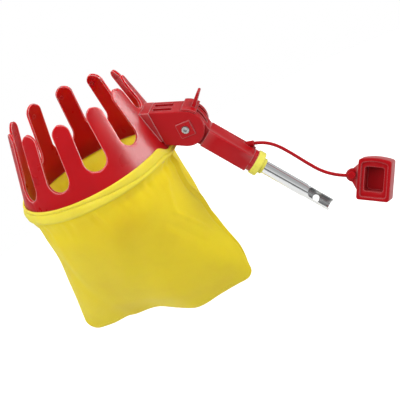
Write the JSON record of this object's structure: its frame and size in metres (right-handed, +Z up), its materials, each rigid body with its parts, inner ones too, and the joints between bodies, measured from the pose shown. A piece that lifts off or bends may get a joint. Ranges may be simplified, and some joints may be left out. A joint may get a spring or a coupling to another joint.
{
  "type": "fruit picker head",
  "caption": "Fruit picker head: a fingered plastic crown over a cloth bag, on a tilting arm and socket with a pole tube, a lock lever and a tethered lock cap.",
  "frame": {"origin": "on the pole tube's axis, where the tube leaves the collar ring", "axes": "+Z up with the crown's mouth level and its bag hanging, +X from the crown towards the pole, +Y along the hinge, away from the side that the picture shows"},
  "size_m": [0.3432, 0.1568, 0.2291],
  "materials": {
    "red_plastic": "glossy moulded",
    "yellow_plastic": "glossy moulded",
    "bag_cloth": "fine woven",
    "hem_cloth": "fine woven",
    "tube_chrome": "bright plated",
    "steel": "zinc plated",
    "washer_plastic": "matt",
    "elastic": "matt"
  },
  "bodies": {
    "socket": {"socket": "red_plastic", "collar_ring": "yellow_plastic", "pole_tube": "tube_chrome", "tube_pin": "steel", "tether_plug": "red_plastic", "tether": "red_plastic", "tether_button": "red_plastic"},
    "head": {"crown": "red_plastic", "arm": "red_plastic", "arm_screws": "steel", "bag_hem": "hem_cloth", "hem_elastic": "elastic", "bag": "bag_cloth", "hinge_bolt": "steel", "hinge_nut": "steel", "spring_washer": "steel", "hinge_bush": "washer_plastic", "friction_washers": "washer_plastic"},
    "lever": {"lock_lever": "red_plastic"},
    "cap": {"lock_cap": "red_plastic"}
  },
  "joints": [
    {"name": "head_tilt", "type": "hinge", "parent": "socket", "child": "head", "pos_m": [-0.04306, 0, 0.06384], "axis": [0, 1, 0], "range_deg": [-20, 35]},
    {"name": "lever_turn", "type": "hinge", "parent": "head", "child": "lever", "pos_m": [-0.04306, 0, 0.06384], "axis": [0, 1, 0], "range_deg": [0, 12]},
    {"name": "cap_swivel", "type": "hinge", "parent": "socket", "child": "cap", "pos_m": [0.06776, 0.00241, -0.03824], "axis": [-0.02, -0.9205, 0.3902], "range_deg": [-25, 25]}
  ]
}
